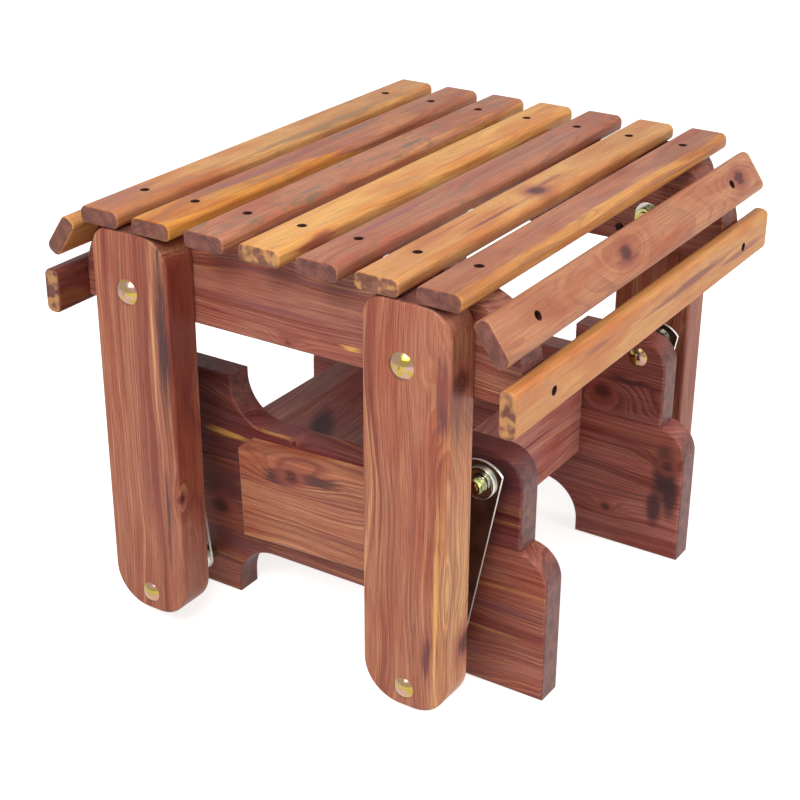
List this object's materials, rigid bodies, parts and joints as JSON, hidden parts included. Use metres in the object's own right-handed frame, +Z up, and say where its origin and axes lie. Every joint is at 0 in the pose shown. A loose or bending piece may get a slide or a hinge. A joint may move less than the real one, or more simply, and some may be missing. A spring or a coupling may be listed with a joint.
{
  "type": "glider ottoman",
  "caption": "Low slatted wooden footstool whose seat hangs on steel swing arms inside a board base, so that it glides to and fro and settles in the middle.",
  "frame": {"origin": "on the floor under the middle of the footstool", "axes": "+Z up; +X along the slats, to the right for a person at the front; +Y from front to back, the way it glides"},
  "size_m": [0.557, 0.518, 0.444],
  "materials": {
    "cedar_slats": "satin oil",
    "cedar_legs": "satin oil",
    "cedar_base": "satin oil",
    "hardwood": "plain",
    "dark_steel": "dark coated",
    "yellow_zinc": "glossy yellow zinc",
    "clear_zinc": "bright zinc",
    "zinc_plate": "bright zinc",
    "bearing_steel": "polished"
  },
  "bodies": {
    "base": {"base_lower_left": "cedar_base", "base_lower_right": "cedar_base", "base_upper_left": "cedar_base", "base_upper_right": "cedar_base", "cleat_left": "cedar_base", "cleat_right": "cedar_base", "stretcher_front": "cedar_base", "stretcher_back": "cedar_base", "cleat_screws": "dark_steel", "stretcher_dowels": "hardwood", "upper_pivot_bolts": "yellow_zinc", "upper_pivot_spacers": "clear_zinc", "upper_pivot_washers": "clear_zinc", "upper_pivot_nuts": "clear_zinc"},
    "arm_front_left": {"arm_front_left": "zinc_plate", "bearing_upper_front_left": "bearing_steel", "bearing_lower_front_left": "bearing_steel"},
    "arm_front_right": {"arm_front_right": "zinc_plate", "bearing_upper_front_right": "bearing_steel", "bearing_lower_front_right": "bearing_steel"},
    "arm_back_left": {"arm_back_left": "zinc_plate", "bearing_upper_back_left": "bearing_steel", "bearing_lower_back_left": "bearing_steel"},
    "arm_back_right": {"arm_back_right": "zinc_plate", "bearing_upper_back_right": "bearing_steel", "bearing_lower_back_right": "bearing_steel"},
    "seat": {"slat_1": "cedar_slats", "slat_2": "cedar_slats", "slat_3": "cedar_slats", "slat_4": "cedar_slats", "slat_5": "cedar_slats", "slat_6": "cedar_slats", "slat_7": "cedar_slats", "slat_front_slope": "cedar_slats", "slat_front_face": "cedar_slats", "slat_back_slope": "cedar_slats", "slat_back_face": "cedar_slats", "rail_left": "cedar_legs", "rail_right": "cedar_legs", "leg_front_left": "cedar_legs", "leg_front_right": "cedar_legs", "leg_back_left": "cedar_legs", "leg_back_right": "cedar_legs", "slat_screws": "dark_steel", "leg_bolts": "yellow_zinc", "leg_washers": "clear_zinc", "leg_nuts": "clear_zinc", "rail_screws": "dark_steel", "lower_pivot_bolts": "yellow_zinc", "lower_pivot_spacers": "clear_zinc", "lower_pivot_washers": "clear_zinc", "lower_pivot_nuts": "clear_zinc"}
  },
  "joints": [
    {"name": "swing_front_left", "type": "hinge", "parent": "base", "child": "arm_front_left", "pos_m": [-0.1905, -0.181, 0.23], "axis": [1, 0, 0], "range_deg": [-10, 10]},
    {"name": "swing_front_right", "type": "hinge", "parent": "base", "child": "arm_front_right", "pos_m": [0.1905, -0.181, 0.23], "axis": [1, 0, 0], "range_deg": [-10, 10]},
    {"name": "swing_back_left", "type": "hinge", "parent": "base", "child": "arm_back_left", "pos_m": [-0.1905, 0.181, 0.23], "axis": [1, 0, 0], "range_deg": [-10, 10]},
    {"name": "swing_back_right", "type": "hinge", "parent": "base", "child": "arm_back_right", "pos_m": [0.1905, 0.181, 0.23], "axis": [1, 0, 0], "range_deg": [-10, 10]},
    {"name": "seat_pivot", "type": "hinge", "parent": "arm_front_left", "child": "seat", "pos_m": [-0.1905, -0.1515, 0.042], "axis": [1, 0, 0], "range_deg": [-12, 12]}
  ],
  "couplings": [
    {"joint": "swing_front_right", "follows": "swing_front_left", "ratio": 1},
    {"joint": "swing_back_left", "follows": "swing_front_left", "ratio": 1},
    {"joint": "swing_back_right", "follows": "swing_front_left", "ratio": 1},
    {"joint": "seat_pivot", "follows": "swing_front_left", "ratio": -1.1947}
  ]
}
